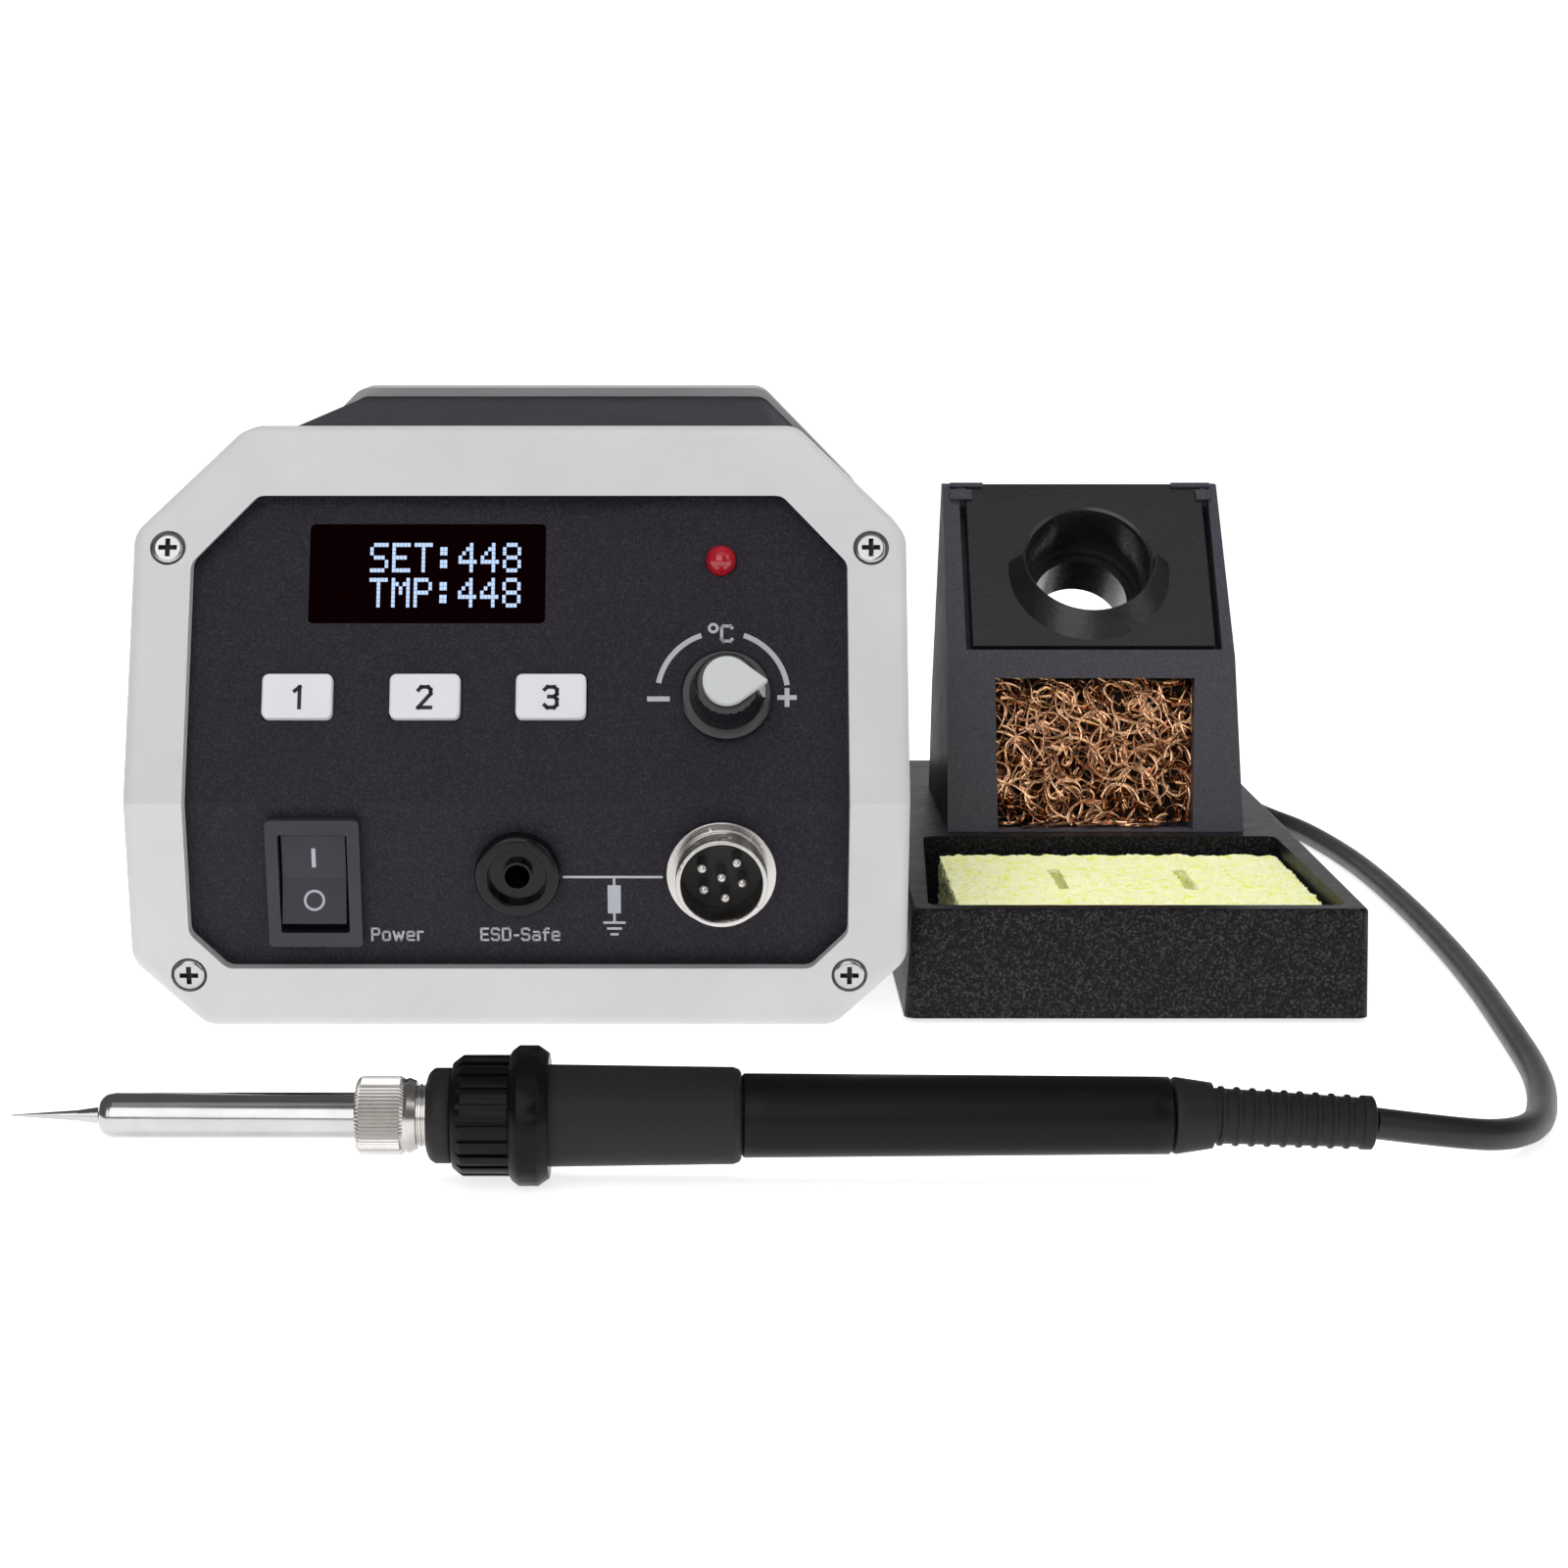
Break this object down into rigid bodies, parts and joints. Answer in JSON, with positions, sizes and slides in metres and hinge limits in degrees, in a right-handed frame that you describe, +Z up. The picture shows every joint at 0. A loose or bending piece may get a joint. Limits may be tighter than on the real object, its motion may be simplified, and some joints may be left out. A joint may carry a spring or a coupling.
{
  "type": "soldering iron station",
  "caption": "Bench soldering station: folded-front control unit, iron stand with sponge and brass wool, and corded iron.",
  "frame": {"origin": "on the bench, under the middle of the unit, stand and iron taken together", "axes": "+Z up, the unit's front faces -Y, +X towards the stand"},
  "size_m": [0.2308, 0.3238, 0.0973],
  "materials": {
    "grey_shell": "fine moulded grain",
    "black_panel": "fine grain",
    "black_casing": "fine grain",
    "window": "gloss",
    "circuit_board": "satin",
    "component_black": "matt",
    "led_red": "clear red dome",
    "button_white": "satin",
    "knob_black": "satin",
    "knob_grey": "satin",
    "switch_black": "satin",
    "nickel": "bright nickel",
    "screw_steel": "zinc plated",
    "chrome_tube": "polished",
    "heater_ceramic": "ceramic",
    "core_steel": "laminated",
    "winding_tape": "tape",
    "heat_sink_alloy": "extruded",
    "fuse_glass": "clear",
    "rubber": "matt",
    "handle_black": "gloss",
    "stand_black": "coarse grain",
    "brass_wool": "curled turnings",
    "sponge_yellow": "cellulose sponge",
    "cable_black": "silicone"
  },
  "bodies": {
    "station": {"front_bezel": "grey_shell", "front_panel": "black_panel", "display_window": "window", "display_module": "circuit_board", "button_switches": "component_black", "status_led": "led_red", "potentiometer": "component_black", "rocker_switch_housing": "switch_black", "esd_jack": "switch_black", "esd_jack_nut": "nickel", "iron_socket_shell": "nickel", "iron_socket_insert": "component_black", "iron_socket_pins": "nickel", "iron_socket_nut": "nickel", "casing": "black_casing", "rear_cap": "grey_shell", "rear_panel": "black_panel", "mains_inlet": "switch_black", "mains_pins": "nickel", "bezel_screws": "screw_steel", "rear_screws": "screw_steel", "rubber_feet": "rubber", "control_board": "circuit_board", "power_board": "circuit_board", "transformer_core": "core_steel", "transformer_windings": "winding_tape", "heat_sink": "heat_sink_alloy", "capacitors": "component_black", "standoffs": "screw_steel"},
    "knob": {"knob": "knob_black", "knob_cap": "knob_grey"},
    "rocker": {"rocker": "switch_black"},
    "button_1": {"preset_button_1": "button_white"},
    "button_2": {"preset_button_2": "button_white"},
    "button_3": {"preset_button_3": "button_white"},
    "fuse_drawer": {"fuse_drawer": "switch_black", "fuse": "fuse_glass"},
    "stand": {"stand_base": "stand_black", "stand_tower": "stand_black", "stand_feet": "rubber", "wool": "brass_wool"},
    "funnel_plate": {"funnel_plate": "stand_black"},
    "sponge": {"sponge": "sponge_yellow"},
    "iron": {"threaded_ferrule": "nickel", "heater": "heater_ceramic", "front_collar": "rubber", "ribbed_collar": "rubber", "soft_grip": "rubber", "handle_tube": "handle_black", "strain_relief": "rubber", "iron_cord": "cable_black", "cord_coil": "cable_black", "cord_tail": "cable_black", "plug_shell": "nickel", "plug_insert": "component_black"},
    "tip_assembly": {"tip": "chrome_tube", "tip_sleeve": "chrome_tube"},
    "tip_nut": {"knurled_nut": "nickel"},
    "plug_ring": {"plug_coupling_ring": "nickel"}
  },
  "joints": [
    {"name": "knob_turn", "type": "hinge", "parent": "station", "child": "knob", "pos_m": [-0.004, -0.0412, 0.05526], "axis": [0, -0.9198, 0.3923], "range_deg": [-50, 230]},
    {"name": "power_rocker", "type": "hinge", "parent": "station", "child": "rocker", "pos_m": [-0.0699, -0.04321, 0.02667], "axis": [1, 0, 0], "range_deg": [0, 17.6]},
    {"name": "button_1_press", "type": "slide", "parent": "station", "child": "button_1", "axis": [0, 0.9198, -0.3923], "range_m": [0, 0.0008], "stiffness_N_per_m": 250},
    {"name": "button_2_press", "type": "slide", "parent": "station", "child": "button_2", "axis": [0, 0.9198, -0.3923], "range_m": [0, 0.0008], "stiffness_N_per_m": 250},
    {"name": "button_3_press", "type": "slide", "parent": "station", "child": "button_3", "axis": [0, 0.9198, -0.3923], "range_m": [0, 0.0008], "stiffness_N_per_m": 250},
    {"name": "fuse_drawer_slide", "type": "slide", "parent": "station", "child": "fuse_drawer", "axis": [0, 1, 0], "range_m": [0, 0.018]},
    {"name": "stand_lift", "type": "slide", "parent": "station", "child": "stand", "axis": [0, 0, 1], "range_m": [0, 0.05]},
    {"name": "funnel_plate_slide", "type": "slide", "parent": "stand", "child": "funnel_plate", "axis": [0, 0.6187, 0.7856], "range_m": [0, 0.03]},
    {"name": "sponge_lift", "type": "slide", "parent": "stand", "child": "sponge", "axis": [0, 0, 1], "range_m": [0, 0.025]},
    {"name": "iron_lift", "type": "slide", "parent": "station", "child": "iron", "axis": [0, 0, 1], "range_m": [0, 0.05]},
    {"name": "tip_pull", "type": "slide", "parent": "iron", "child": "tip_assembly", "axis": [-1, 0, 0], "range_m": [0, 0.06]},
    {"name": "tip_nut_turn", "type": "hinge", "parent": "tip_assembly", "child": "tip_nut", "pos_m": [-0.0514, -0.1219, 0.0096], "axis": [1, 0, 0], "continuous": true},
    {"name": "plug_ring_turn", "type": "hinge", "parent": "iron", "child": "plug_ring", "pos_m": [0.055, 0.1775, 0.0181], "axis": [1, 0, 0], "continuous": true}
  ]
}
